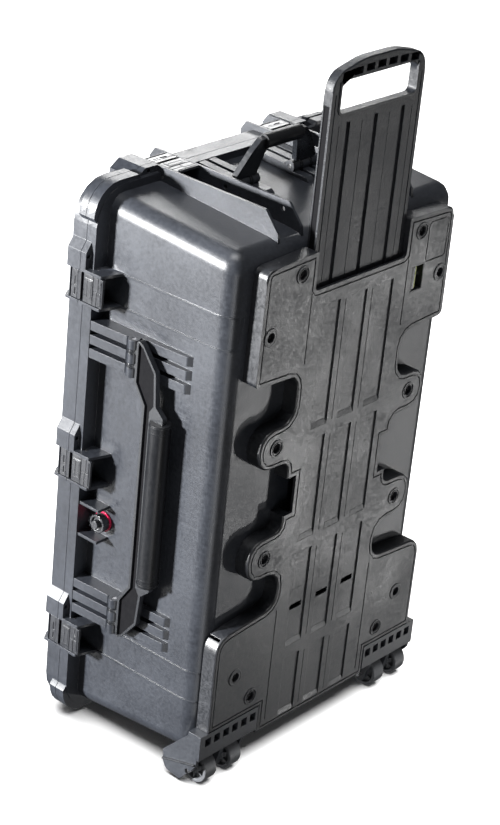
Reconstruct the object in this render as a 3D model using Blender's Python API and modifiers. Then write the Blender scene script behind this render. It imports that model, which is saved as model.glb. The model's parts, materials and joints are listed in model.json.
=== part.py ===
"""A large wheeled hard equipment case, standing on end, in metres with +Z up.

The case stands on its wheels. The trolley panel faces -Y, the lid is at +Y, the long side with
the latches, the carrying handle and the purge valve faces -X, and the hinges are at +X. The
origin is at the bottom centre. The trolley handle is drawn out and the top handle stands up.
"""

import math

import bmesh
import bpy
from mathutils import Matrix, Vector

# ---- Driving dimensions -------------------------------------------------------------------
GAP = 0.0003  # between pieces that touch
CLEARANCE = 0.0004  # radial, round pins and barrels

CENTRE_Z = 0.403  # middle of the rim, between the top and the bottom end
FLANGE_X = 0.250  # half width of the rim
FLANGE_Z = 0.391  # half height of the rim
FLANGE_RADIUS = 0.050
FLANGE_BACK_Y = 0.0815  # where the base's rim starts
BUMPER_X = 0.2545  # the rim's thickened corners
BUMPER_Z = 0.397
BUMPER_RADIUS = 0.0435
BUMPER_LID_Y = 0.109
SEAM_Y = 0.0975
BASE_TOP_Y = SEAM_Y - GAP
LID_LOW_Y = SEAM_Y + GAP
LID_RIM_Y = 0.122
LID_FACE_Y = 0.147
LID_RIB_Y = 0.158

BODY_X = 0.227  # half width of the tub at its rim
BODY_Z = 0.3815
BODY_RADIUS = 0.024
BODY_DRAFT = 0.003
END_DRAFT = 0.016  # the same at the tub's two ends
BASE_BACK_Y = -0.1325
EDGE_ROUND = 0.025  # round between the tub's sides and its bottom
WALL = 0.0045
INNER_X = 0.2222
INNER_Z = 0.3735

PANEL_Y = -0.155  # outer face of the trolley panel
PANEL_SKIN = 0.004
PLATE_Y = (-0.147, -0.133)
PLATE_X = 0.0925
PLATE_TOP_Z = 0.9935
PLATE_ARCH = 0.014
PLATE_LOW_Z = 0.495
TROLLEY_TRAVEL = 0.205
NOTCH_Z = 0.700

WHEEL_RADIUS = 0.022
WHEEL_WIDTH = 0.022
WHEEL_Y = -0.136
WHEEL_X = (0.158, 0.208)
AXLE_RADIUS = 0.0035

# ---- Latches, in a frame with u outwards from the rim, v along +Y and w along the rim -------
LATCH_OFFSET = 0.2595  # from the middle of the long side
END_LATCH_X = 0.113
GUARD_IN = 0.0205
GUARD_OUT = 0.0245
GUARD_PROUD = 0.009
LUG_PROUD = 0.009  # how far a padlock lug stands out of the rim
LUG_BASE_V = 0.088
LUG_LID_V = {False: 0.121, True: 0.136}  # where the lid's lugs and guards end, True on the ends
KEEPER_LOW_V = 0.1146
FOOT_PROUD = 0.012  # the bottom end's guards are the case's feet
BAY_U = -0.0165  # a bay in the tub's ends, for the fingers and the lever's free end
BAY_V = (0.044, 0.079)
HOOK_PIVOT = (-0.005, 0.078)
LEVER_PIVOT = (0.0015, 0.090)
LATCH_PIN_RADIUS = 0.002
LEVER_PIN_RADIUS = 0.0015
LATCH_HALF = 0.0198
WEB_HALF = 0.0158
EAR_HALF = 0.005

# ---- Handles, in a frame with u outwards, v along +Y and w along the pivot axis ---------------
HANDLE_PIVOT_U = -0.006
HANDLE_PIVOT_V = 0.009
BARREL_RADIUS = 0.008
HANDLE_PIN_RADIUS = 0.003
RIB_HALF = 0.0065
RIB_PITCH = 0.0195
SIDE_HANDLE_Z = 0.398
SIDE_HANDLE_RIB = 0.192  # middle rib of each mount, from the handle's middle
TOP_HANDLE_RIB = 0.060
HANDLE_PLATE = (-0.010, -0.002)

VALVE_YZ = (0.054, 0.325)
HINGE_AXIS = (0.252, SEAM_Y)
HINGE_RADIUS = 0.007
HINGE_PIN_RADIUS = 0.0025
HINGE_OFFSET = 0.170
KNUCKLE = 0.024

SCREWS = (  # (x, z) of the trolley panel's screws, repeated at -x
    (0.122, 0.730),
    (0.174, 0.658),
    (0.138, 0.491),
    (0.138, 0.326),
    (0.174, 0.157),
    (0.137, 0.111),
)
SCREW_BOSS = 0.0125
SCREW_HEAD = 0.0065
GROOVE_X = (-0.055, 0.0, 0.055)
GROOVE_HALF = 0.0165
GROOVE_Z = ((0.497, 0.675), (0.329, 0.481), (0.163, 0.310), (0.050, 0.144))
GROOVE_DEPTH = 0.0022
WINDOW = ((0.113, 0.645), (0.135, 0.680))


# ---- Scene helpers ------------------------------------------------------------------------
def clear_scene():
    for obj in list(bpy.data.objects):
        bpy.data.objects.remove(obj, do_unlink=True)


def new_collection(name, parent):
    collection = bpy.data.collections.new(name)
    parent.children.link(collection)
    return collection


clear_scene()
PARTS = new_collection("equipment_case", bpy.context.scene.collection)
CUTTERS = new_collection("equipment_case_cutters", bpy.context.scene.collection)


def plain_material(name, colour, roughness, metallic=0.0):
    material = bpy.data.materials.new(name)
    material.use_nodes = True
    shader = material.node_tree.nodes["Principled BSDF"]
    shader.inputs["Base Color"].default_value = (*colour, 1.0)
    shader.inputs["Roughness"].default_value = roughness
    shader.inputs["Metallic"].default_value = metallic
    return material


MATERIALS = {
    "shell": plain_material("shell_plastic", (0.060, 0.063, 0.068), 0.48),
    "panel": plain_material("panel_plastic", (0.034, 0.035, 0.038), 0.50),
    "latch": plain_material("latch_plastic", (0.045, 0.047, 0.051), 0.45),
    "handle": plain_material("handle_plastic", (0.040, 0.042, 0.046), 0.45),
    "rubber": plain_material("grip_rubber", (0.022, 0.022, 0.024), 0.60),
    "seal": plain_material("seal_rubber", (0.018, 0.018, 0.018), 0.75),
    "steel": plain_material("steel", (0.560, 0.560, 0.570), 0.30, 1.0),
    "wheel": plain_material("wheel_plastic", (0.075, 0.077, 0.080), 0.55),
    "red": plain_material("valve_red", (0.500, 0.020, 0.050), 0.45),
    "release": plain_material("release_green", (0.480, 0.560, 0.060), 0.45),
}


def mesh_object(name, bm):
    """A cutter or a raw solid made from bm. finish_part turns the ones that are pieces into parts."""
    bm.normal_update()
    bmesh.ops.recalc_face_normals(bm, faces=bm.faces)
    mesh = bpy.data.meshes.new(name)
    bm.to_mesh(mesh)
    bm.free()
    obj = bpy.data.objects.new(name, mesh)
    CUTTERS.objects.link(obj)
    obj.hide_render = True
    obj.display_type = "WIRE"
    return obj


def finish_part(obj, name, material, origin=(0.0, 0.0, 0.0)):
    """Names obj as a part, gives it a material and puts its origin on its joint's axis."""
    obj.name = name
    CUTTERS.objects.unlink(obj)
    PARTS.objects.link(obj)
    obj.hide_render = False
    obj.display_type = "TEXTURED"
    obj.data.materials.clear()
    obj.data.materials.append(MATERIALS[material])
    obj.data.shade_smooth()
    obj.data.set_sharp_from_angle(angle=math.radians(35))
    obj.data.transform(Matrix.Translation(-Vector(origin)))
    obj.location = origin
    return obj


def evaluated_mesh(obj):
    """A new mesh of obj as its modifiers, or its curve settings, make it."""
    graph = bpy.context.evaluated_depsgraph_get()
    return bpy.data.meshes.new_from_object(obj.evaluated_get(graph))


def boolean(target, others, operation):
    """Cuts others from target, or fuses them to it, and applies the result."""
    group = new_collection("operands", CUTTERS)
    for other in others:
        CUTTERS.objects.unlink(other)
        group.objects.link(other)
    modifier = target.modifiers.new(operation.title(), "BOOLEAN")
    modifier.operation = operation
    modifier.operand_type = "COLLECTION"
    modifier.collection = group
    modifier.solver = "EXACT"
    result = evaluated_mesh(target)
    target.modifiers.clear()
    target.data = result
    for other in others:
        bpy.data.objects.remove(other)
    bpy.data.collections.remove(group)
    return target


def cut(target, others):
    return boolean(target, others, "DIFFERENCE")


def fuse(target, others):
    return boolean(target, others, "UNION")


# ---- Shapes -------------------------------------------------------------------------------
def box(lo, hi, frame=Matrix.Identity(4)):
    bm = bmesh.new()
    bmesh.ops.create_cube(bm, size=1.0)
    size = Vector(hi) - Vector(lo)
    middle = (Vector(hi) + Vector(lo)) / 2
    bm.transform(frame @ Matrix.Translation(middle) @ Matrix.Diagonal((*size, 1.0)))
    return mesh_object("box", bm)


TURN = {
    "X": Matrix.Rotation(math.pi / 2, 4, "Y"),
    "Y": Matrix.Rotation(-math.pi / 2, 4, "X"),
    "Z": Matrix.Identity(4),
}


def cylinder(centre, radius, length, axis, sides=24, frame=Matrix.Identity(4), end_radius=None):
    bm = bmesh.new()
    bmesh.ops.create_cone(
        bm,
        cap_ends=True,
        segments=sides,
        radius1=radius,
        radius2=radius if end_radius is None else end_radius,
        depth=length,
    )
    bm.transform(frame @ Matrix.Translation(centre) @ TURN[axis])
    return mesh_object("cylinder", bm)


def fillet(corners, steps=4):
    """The outline through corners of (x, y) or (x, y, radius), with each radius as an arc."""
    outline = []
    count = len(corners)
    for i, corner in enumerate(corners):
        here = Vector(corner[:2])
        radius = corner[2] if len(corner) > 2 else 0.0
        if not radius:
            outline.append(here)
            continue
        before = (Vector(corners[i - 1][:2]) - here).normalized()
        after = (Vector(corners[(i + 1) % count][:2]) - here).normalized()
        half = before.angle(after) / 2
        reach = radius / math.tan(half)
        centre = here + (before + after).normalized() * (radius / math.sin(half))
        start = here + before * reach - centre
        sweep = (here + after * reach - centre).angle_signed(start)
        for k in range(steps + 1):
            outline.append(centre + Matrix.Rotation(sweep * k / steps, 2) @ start)
    return outline


PLANES = {  # where an outline's two numbers and its extrusion go
    "XZ": Matrix(((1, 0, 0, 0), (0, 0, -1, 0), (0, 1, 0, 0), (0, 0, 0, 1))),
    "YZ": Matrix(((0, 0, 1, 0), (1, 0, 0, 0), (0, 1, 0, 0), (0, 0, 0, 1))),
    "XY": Matrix.Identity(4),
}


def outline_solid(outline, plane, low, high, frame=Matrix.Identity(4)):
    """A flat outline in a plane, extruded from low to high along the third axis."""
    curve = bpy.data.curves.new("outline", "CURVE")
    curve.dimensions = "2D"
    curve.fill_mode = "BOTH"
    curve.extrude = (high - low) / 2
    spline = curve.splines.new("POLY")
    spline.points.add(len(outline) - 1)
    for point, place in zip(spline.points, outline):
        point.co = (place[0], place[1], 0.0, 1.0)
    spline.use_cyclic_u = True
    guide = bpy.data.objects.new("outline", curve)
    bpy.context.scene.collection.objects.link(guide)
    mesh = evaluated_mesh(guide)
    bpy.data.objects.remove(guide)
    bm = bmesh.new()
    bm.from_mesh(mesh)
    bpy.data.meshes.remove(mesh)
    bmesh.ops.remove_doubles(bm, verts=bm.verts, dist=0.00001)
    middle = (low + high) / 2
    along = -middle if plane == "XZ" else middle
    bm.transform(frame @ PLANES[plane] @ Matrix.Translation((0, 0, along)))
    return mesh_object("outline", bm)


def rounded_rectangle(half_x, half_z, radius, centre_z=CENTRE_Z, steps=5):
    corners = [
        (-half_x, centre_z - half_z, radius),
        (half_x, centre_z - half_z, radius),
        (half_x, centre_z + half_z, radius),
        (-half_x, centre_z + half_z, radius),
    ]
    return fillet(corners, steps)


def loft(sections):
    """A solid through rounded rectangles of (y, half x, half z, radius)."""
    bm = bmesh.new()
    rings = []
    for y, half_x, half_z, radius in sections:
        outline = rounded_rectangle(half_x, half_z, radius)
        rings.append([bm.verts.new((p.x, y, p.y)) for p in outline])
    for ring, following in zip(rings, rings[1:]):
        for i in range(len(ring)):
            j = (i + 1) % len(ring)
            bm.faces.new((ring[i], ring[j], following[j], following[i]))
    bm.faces.new(rings[0])
    bm.faces.new(rings[-1])
    return mesh_object("loft", bm)


def tub(floor_y, mouth_y, half_x, half_z, corner, edge, steps=4):
    """A drafted tub with rounded edges. Its floor may lie on either side of its mouth."""
    side = 1 if mouth_y > floor_y else -1
    narrow_x = half_x - BODY_DRAFT
    narrow_z = half_z - END_DRAFT
    sections = []
    for k in range(steps + 1):
        angle = math.pi / 2 * k / steps
        inset = edge * (1 - math.sin(angle))
        y = floor_y + side * edge * (1 - math.cos(angle))
        sections.append((y, narrow_x - inset, narrow_z - inset, corner - inset * 0.6))
    sections.append((mouth_y, half_x, half_z, corner))
    return loft(sections)


# ---- Placing frames -----------------------------------------------------------------------
def rim_frame(outwards, place):
    """A frame at place whose u points outwards, v along +Y, and w across both."""
    u = Vector(outwards)
    v = Vector((0, 1, 0))
    w = u.cross(v)
    frame = Matrix((u, v, w)).transposed().to_4x4()
    frame.translation = Vector(place)
    return frame


def latch_places():
    """Each latch's name, frame and how far its guards stand proud of the rim."""
    places = {}
    for name, offset in (("upper", 1), ("middle", 0), ("lower", -1)):
        place = (-FLANGE_X, 0, CENTRE_Z + offset * LATCH_OFFSET)
        places[f"side_latch_{name}"] = (rim_frame((-1, 0, 0), place), GUARD_PROUD)
    for name, sign in (("left", -1), ("right", 1)):
        top = (sign * END_LATCH_X, 0, CENTRE_Z + FLANGE_Z)
        bottom = (sign * END_LATCH_X, 0, CENTRE_Z - FLANGE_Z)
        places[f"top_latch_{name}"] = (rim_frame((0, 0, 1), top), GUARD_PROUD - 0.001)
        places[f"bottom_latch_{name}"] = (rim_frame((0, 0, -1), bottom), FOOT_PROUD)
    return places


LATCHES = latch_places()
SIDE_HANDLE = rim_frame((-1, 0, 0), (-FLANGE_X, 0, SIDE_HANDLE_Z))
TOP_HANDLE = rim_frame((0, 0, 1), (0, 0, CENTRE_Z + FLANGE_Z))


# ---- Shells -------------------------------------------------------------------------------
def is_end_latch(name):
    return not name.startswith("side")


def base_guards(name, frame, proud):
    """The pair of plates beside a latch. On the ends they run down the case as long ribs."""
    if is_end_latch(name):
        outline = [(proud, BASE_TOP_Y), (proud, -0.097, 0.004), (-0.018, -0.120), (-0.030, -0.122)]
        outline.append((-0.030, BASE_TOP_Y))
    else:
        outline = [(proud, BASE_TOP_Y), (proud, 0.060, 0.003), (-0.024, 0.050), (-0.024, BASE_TOP_Y)]
    outline = fillet(outline, 2)
    return [
        outline_solid(outline, "XY", low, low + GUARD_OUT - GUARD_IN, frame)
        for low in (-GUARD_OUT, GUARD_IN)
    ]


def lid_guards(name, frame, proud):
    """The plates beside a latch on the lid, and the sloped keeper that the hook ends against."""
    far_v = LUG_LID_V[is_end_latch(name)]
    plate = [
        (-0.003, LID_LOW_Y),
        (proud, LID_LOW_Y),
        (proud, far_v),
        (proud - 0.012, far_v + 0.008),
        (-0.0240, far_v + 0.008),
        (-0.0240, LID_RIM_Y - 0.002),
        (-0.003, LID_RIM_Y - 0.002),
    ]
    solids = [
        outline_solid(plate, "XY", low, low + GUARD_OUT - GUARD_IN, frame)
        for low in (-GUARD_OUT, GUARD_IN)
    ]
    keeper = [
        (-0.0030, KEEPER_LOW_V),
        (0.0078, KEEPER_LOW_V),
        (0.0078, 0.1160),
        (-0.0080, 0.1310),
        (-0.0240, 0.1310),
        (-0.0240, LID_RIM_Y - 0.002),
        (-0.0030, LID_RIM_Y - 0.002),
    ]
    solids.append(outline_solid(keeper, "XY", -GUARD_IN - 0.001, GUARD_IN + 0.001, frame))
    return solids


def lug_side(name):
    """Which way along w a latch's padlock lug lies."""
    frame = LATCHES[name][0]
    if is_end_latch(name):
        return 1 if frame.translation.x * frame.col[2].x > 0 else -1
    return 1 if frame.col[2].z > 0 else -1


def lug(name, frame, low_v, high_v, root_u):
    """Half of a padlock lug: a wedge beside the latch whose far face slopes down to the rim."""
    side = lug_side(name)
    outline = [
        (root_u, side * 0.0235),
        (LUG_PROUD, side * 0.0235),
        (LUG_PROUD, side * 0.0470),
        (-0.002, side * 0.0630),
        (root_u, side * 0.0630),
    ]
    return outline_solid(outline, "XZ", low_v, high_v, frame)


def lug_hole(name, frame):
    middle = (0.0040, SEAM_Y, lug_side(name) * 0.0410)
    return cylinder(middle, 0.003, 0.100, "Y", 10, frame)


def corner_bumpers(signs_x, outer_x, low_y, high_y):
    """The rim's corners at these signs of x, thickened out to outer_x between low_y and high_y."""
    solids = []
    for sign_x in signs_x:
        for sign_z in (-1, 1):
            corners = [
                (0.1720, 0.3860),
                (0.1720, 0.3905),
                (0.1770, BUMPER_Z),
                (outer_x, BUMPER_Z, BUMPER_RADIUS),
                (outer_x, 0.3530),
                (0.2495, 0.3470),
                (0.2460, 0.3470),
                (0.2260, 0.3780),
                (0.2050, 0.3860),
            ]
            outline = [(sign_x * x, CENTRE_Z + sign_z * z, *rest) for x, z, *rest in corners]
            solids.append(outline_solid(fillet(outline, 6), "XZ", low_y, high_y))
    return solids


def handle_rib_offsets(middle):
    return [sign * (middle + k * RIB_PITCH) for sign in (-1, 1) for k in (-1, 0, 1)]


def handle_mount(frame, middle, low_u, reach_v):
    """Ribs that run from the rim under a handle's pivots, each with an ear round the pin.

    Beyond the pivots the ribs drop to low_u, and they end at reach_v.
    """
    outline = [
        (-0.0005, 0.090),
        (-0.0005, 0.084),
        (-0.004, 0.020),
        (low_u, 0.008),
        (low_u - 0.0010, -0.020),
        (low_u - 0.0045, reach_v + 0.006, 0.003),
        (-0.0270, reach_v),
        (-0.0270, 0.090),
    ]
    solids = []
    for offset in handle_rib_offsets(middle):
        low = offset - RIB_HALF
        high = offset + RIB_HALF
        solids.append(outline_solid(fillet(outline, 2), "XY", low, high, frame))
        centre = (HANDLE_PIVOT_U, HANDLE_PIVOT_V, offset)
        solids.append(cylinder(centre, BARREL_RADIUS, 2 * RIB_HALF, "Z", 14, frame))
        # the ear's foot
        solids.append(box((-0.020, 0.004, low), (HANDLE_PIVOT_U, 0.014, high), frame))
    return solids


def handle_bores(frame, middle):
    bores = []
    for sign in (-1, 1):
        centre = (HANDLE_PIVOT_U, HANDLE_PIVOT_V, sign * middle)
        bores.append(cylinder(centre, HANDLE_PIN_RADIUS + CLEARANCE, 0.090, "Z", 12, frame))
    return bores


def ridge_loops():
    """Thin raised lines that go on from the guards round the tub, and end under the trolley."""
    reach = 0.0014
    low_y = BASE_BACK_Y + reach / 4
    outline = fillet(
        [
            (-BODY_X - reach, FLANGE_BACK_Y + 0.002),
            (-BODY_X + BODY_DRAFT - reach, low_y, EDGE_ROUND),
            (BODY_X - BODY_DRAFT + reach, low_y, EDGE_ROUND),
            (BODY_X + reach, FLANGE_BACK_Y + 0.002),
        ],
        4,
    )
    solids = []
    for latch_sign in (-1, 1):
        for edge in (-1, 1):
            z = CENTRE_Z + latch_sign * LATCH_OFFSET + edge * 0.0225
            solids.append(outline_solid(outline, "XY", z - 0.0014, z + 0.0014))
    return solids


def valve_ribs():
    return [
        box((-FLANGE_X + 0.002, 0.046, z), (-BODY_X + 0.002, FLANGE_BACK_Y + 0.001, z + 0.004))
        for z in (0.299, 0.347)
    ]


def hinge_spans():
    """(z low, z high, belongs to the base) of each knuckle along the hinges."""
    spans = []
    for sign in (-1, 1):
        start = CENTRE_Z + sign * HINGE_OFFSET - 2.5 * KNUCKLE
        for k in range(5):
            low = start + k * KNUCKLE + CLEARANCE / 2
            spans.append((low, low + KNUCKLE - CLEARANCE, k % 2 == 0))
    return spans


def hinge_room():
    x, y = HINGE_AXIS
    return [
        cylinder((x, y, CENTRE_Z + sign * HINGE_OFFSET), HINGE_RADIUS + 0.0008, 5 * KNUCKLE, "Z", 16)
        for sign in (-1, 1)
    ]


def knuckles(of_base):
    x, y = HINGE_AXIS
    web = (0.084, 0.094) if of_base else (0.101, 0.111)
    solids = []
    for low, high, base_knuckle in hinge_spans():
        if base_knuckle != of_base:
            continue
        solids.append(cylinder((x, y, (low + high) / 2), HINGE_RADIUS, high - low, "Z", 16))
        solids.append(box((x - 0.014, web[0], low), (x, web[1], high)))
    return solids


def hinge_bores():
    x, y = HINGE_AXIS
    radius = HINGE_PIN_RADIUS + CLEARANCE
    return [
        cylinder((x, y, CENTRE_Z + sign * HINGE_OFFSET), radius, 6 * KNUCKLE, "Z", 12)
        for sign in (-1, 1)
    ]


def make_base():
    base = tub(BASE_BACK_Y, BASE_TOP_Y, BODY_X, BODY_Z, BODY_RADIUS, EDGE_ROUND)
    base.name = "base_body"
    rim = rounded_rectangle(FLANGE_X, FLANGE_Z, FLANGE_RADIUS)
    added = [outline_solid(rim, "XZ", FLANGE_BACK_Y, BASE_TOP_Y)]
    removed = [tub(BASE_BACK_Y + WALL, 0.110, INNER_X, INNER_Z, BODY_RADIUS - WALL, 0.021)]
    for name, (frame, proud) in LATCHES.items():
        added += base_guards(name, frame, proud)
        added.append(lug(name, frame, LUG_BASE_V, BASE_TOP_Y, -0.002))
        # room for the latch between its guards
        removed.append(box((-0.0105, 0.060, -GUARD_IN), (0.030, 0.110, GUARD_IN), frame))
        if is_end_latch(name):
            removed.append(box((BAY_U, BAY_V[0], -GUARD_IN), (0.030, BAY_V[1], GUARD_IN), frame))
        pin = (HOOK_PIVOT[0], HOOK_PIVOT[1], 0.0)
        bore = LATCH_PIN_RADIUS + CLEARANCE
        removed.append(cylinder(pin, bore, 0.060, "Z", 12, frame))
        removed.append(lug_hole(name, frame))
    for sign in (-1, 1):
        hole = (sign * (END_LATCH_X - 0.0225), -0.088, CENTRE_Z + FLANGE_Z - 0.004)
        removed.append(cylinder(hole, 0.0035, 0.008, "X", 12))
    added += corner_bumpers((-1, 1), BUMPER_X, FLANGE_BACK_Y + 0.001, BASE_TOP_Y)
    added += handle_mount(SIDE_HANDLE, SIDE_HANDLE_RIB, -0.0145, -0.077)
    added += handle_mount(TOP_HANDLE, TOP_HANDLE_RIB, -0.0110, -0.030)
    removed += handle_bores(SIDE_HANDLE, SIDE_HANDLE_RIB)
    removed += handle_bores(TOP_HANDLE, TOP_HANDLE_RIB)
    added += ridge_loops()
    added += valve_ribs()
    y, z = VALVE_YZ
    removed.append(cylinder((-BODY_X, y, z), 0.0065, 0.030, "X", 16))
    fuse(base, added)
    cut(base, removed + hinge_room())
    fuse(base, knuckles(True))
    cut(base, hinge_bores())
    return finish_part(base, "base_shell", "shell")


def lid_ribs():
    """Raised stacking ribs and a rounded frame on the lid's outer face."""
    solids = []
    for x in (-0.150, -0.050, 0.050, 0.150):
        for sign in (-1, 1):
            outline = fillet(
                [
                    (x - 0.016, CENTRE_Z + sign * 0.175 - 0.110, 0.012),
                    (x + 0.016, CENTRE_Z + sign * 0.175 - 0.110, 0.012),
                    (x + 0.016, CENTRE_Z + sign * 0.175 + 0.110, 0.012),
                    (x - 0.016, CENTRE_Z + sign * 0.175 + 0.110, 0.012),
                ],
                2,
            )
            solids.append(outline_solid(outline, "XZ", LID_FACE_Y - 0.002, LID_RIB_Y))
    return solids


SEAL_OUTER = (0.2395, 0.3805, 0.0400)
SEAL_INNER = (0.2345, 0.3755, 0.0350)


def ring(outer, inner, low_y, high_y):
    whole = outline_solid(rounded_rectangle(*outer), "XZ", low_y, high_y)
    return cut(whole, [outline_solid(rounded_rectangle(*inner), "XZ", low_y - 0.01, high_y + 0.01)])


def make_lid():
    lid = tub(LID_FACE_Y, LID_LOW_Y, BODY_X, BODY_Z, BODY_RADIUS, 0.018)
    lid.name = "lid_body"
    rim = rounded_rectangle(FLANGE_X, FLANGE_Z, FLANGE_RADIUS)
    added = [outline_solid(rim, "XZ", LID_LOW_Y, LID_RIM_Y)]
    added += lid_ribs()
    added += corner_bumpers((-1,), BUMPER_X, LID_LOW_Y, BUMPER_LID_Y)
    # at the hinges they stay inside the axis, and off the seam, so that the lid can turn
    added += corner_bumpers((1,), HINGE_AXIS[0] - 0.0005, 0.101, BUMPER_LID_Y)
    removed = [tub(LID_FACE_Y - WALL, 0.080, INNER_X, INNER_Z, BODY_RADIUS - WALL, 0.014)]
    for name, (frame, proud) in LATCHES.items():
        added += lid_guards(name, frame, proud)
        added.append(lug(name, frame, LID_LOW_Y, LUG_LID_V[is_end_latch(name)], -0.012))
        removed.append(box((-0.0105, 0.090, -GUARD_IN), (0.030, 0.1045, GUARD_IN), frame))
        removed.append(lug_hole(name, frame))
    groove_outer = [size + 0.0004 for size in SEAL_OUTER]
    groove_inner = [size - 0.0004 for size in SEAL_INNER]
    groove = outline_solid(rounded_rectangle(*groove_outer), "XZ", 0.090, LID_LOW_Y + 0.0034)
    cut(groove, [outline_solid(rounded_rectangle(*groove_inner), "XZ", 0.080, 0.120)])
    fuse(lid, added)
    cut(lid, removed + hinge_room() + [groove])
    fuse(lid, knuckles(False))
    cut(lid, hinge_bores())
    return finish_part(lid, "lid_shell", "shell", (*HINGE_AXIS, 0.0))


def make_seal():
    seal = ring(SEAL_OUTER, SEAL_INNER, LID_LOW_Y - 0.0001, LID_LOW_Y + 0.0030)
    finish_part(seal, "lid_seal", "seal")


def make_hinge_pins():
    x, y = HINGE_AXIS
    for name, sign in (("lower", -1), ("upper", 1)):
        place = (x, y, CENTRE_Z + sign * HINGE_OFFSET)
        pin = cylinder(place, HINGE_PIN_RADIUS, 5 * KNUCKLE - 0.001, "Z", 12)
        finish_part(pin, f"hinge_pin_{name}", "steel", place)


# ---- Latches ------------------------------------------------------------------------------
def world_point(frame, u, v, w=0.0):
    return (frame @ Vector((u, v, w)))[:]


def make_hook(name, frame):
    """The claw: a block over the lid's rim, a web behind the lever and an ear for the lever."""
    u, v = HOOK_PIVOT
    block = [(0.0006, 0.114), (0.008, 0.112), (0.008, 0.095), (0.0025, 0.0973), (0.0006, 0.0973)]
    web = [
        (0.0030, 0.103),
        (0.0030, 0.0973),
        (-0.0040, 0.0973),
        (-0.0040, 0.082),
        (-0.0008, v),
        (u, v - 0.0042),
        (u - 0.0042, v),
        (-0.0092, 0.103),
    ]
    hook = outline_solid(block, "XY", -LATCH_HALF, LATCH_HALF, frame)
    hook.name = f"{name}_block"
    pivot_u, pivot_v = LEVER_PIVOT
    tab = [
        (-0.0060, pivot_v - 0.0033),
        (pivot_u + 0.0033, pivot_v - 0.0033, 0.003),
        (pivot_u + 0.0033, pivot_v + 0.0033, 0.003),
        (-0.0060, pivot_v + 0.0033),
    ]
    fuse(
        hook,
        [
            outline_solid(web, "XY", -WEB_HALF, WEB_HALF, frame),
            outline_solid(fillet(tab, 3), "XY", -EAR_HALF, EAR_HALF, frame),
        ],
    )
    slot = box((0.0070, 0.1035, -0.010), (0.012, 0.1065, 0.002), frame)
    bores = [
        cylinder((u, v, 0.0), LATCH_PIN_RADIUS + CLEARANCE, 0.060, "Z", 12, frame),
        cylinder((pivot_u, pivot_v, 0.0), LEVER_PIN_RADIUS + CLEARANCE, 0.016, "Z", 10, frame),
    ]
    cut(hook, bores + [slot])
    finish_part(hook, f"{name}_hook", "latch", world_point(frame, u, v))


def make_lever(name, frame):
    """The pull: a front skin between two cheeks, with a pin across that the hook's ear holds."""
    u, v = LEVER_PIVOT
    cheek = [
        (-0.0005, 0.0925),
        (0.0055, 0.0923),
        (0.0080, 0.0905),
        (0.0080, 0.0590),
        (0.0090, 0.0560),
        (0.0060, 0.0550),
        (0.0035, 0.0620),
        (-0.0005, 0.0860),
    ]
    skin = [
        (0.0052, 0.0923),
        (0.0055, 0.0923),
        (0.0080, 0.0905),
        (0.0080, 0.0590),
        (0.0090, 0.0560),
        (0.0060, 0.0550),
        (0.0052, 0.0600),
    ]
    lever = outline_solid(skin, "XY", -LATCH_HALF, LATCH_HALF, frame)
    lever.name = f"{name}_skin"
    pin = cylinder((u, v, 0.0), LEVER_PIN_RADIUS, 0.036, "Z", 10, frame)
    pad = box((0.0070, 0.0745, -0.0140), (0.0086, 0.0880, 0.0140), frame)
    cheeks = [
        outline_solid(cheek, "XY", low, low + 0.0035, frame)
        for low in (-LATCH_HALF, LATCH_HALF - 0.0035)
    ]
    fuse(lever, cheeks + [pin, pad])
    finish_part(lever, f"{name}_lever", "latch", world_point(frame, u, v))


def make_latches():
    for name, (frame, _) in LATCHES.items():
        make_hook(name, frame)
        make_lever(name, frame)
        place = Vector((HOOK_PIVOT[0], HOOK_PIVOT[1], 0.0))
        pin = cylinder(place, LATCH_PIN_RADIUS, 2 * GUARD_OUT, "Z", 12, frame)
        finish_part(pin, f"{name}_pin", "steel", world_point(frame, *place))


# ---- Carrying handles ---------------------------------------------------------------------
def handle_spin(frame, angle):
    """frame turned about the handle's pivot axis, outwards, by angle."""
    pivot = Matrix.Translation((HANDLE_PIVOT_U, HANDLE_PIVOT_V, 0.0))
    return frame @ pivot @ Matrix.Rotation(math.radians(angle), 4, "Z") @ pivot.inverted()


def handle_barrels(middle, frame):
    """The handle's barrels, between the mount's ears, with the webs that join them to its arms."""
    length = RIB_PITCH - 2 * RIB_HALF - 2 * CLEARANCE
    solids = []
    for sign in (-1, 1):
        for step in (-0.5, 0.5):
            w = sign * (middle + step * RIB_PITCH)
            centre = (HANDLE_PIVOT_U, HANDLE_PIVOT_V, w)
            solids.append(cylinder(centre, BARREL_RADIUS, length, "Z", 14, frame))
            low = (HANDLE_PLATE[0], -0.001, w - length / 2)
            high = (HANDLE_PLATE[1], HANDLE_PIVOT_V, w + length / 2)
            solids.append(box(low, high, frame))
    return solids


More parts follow.
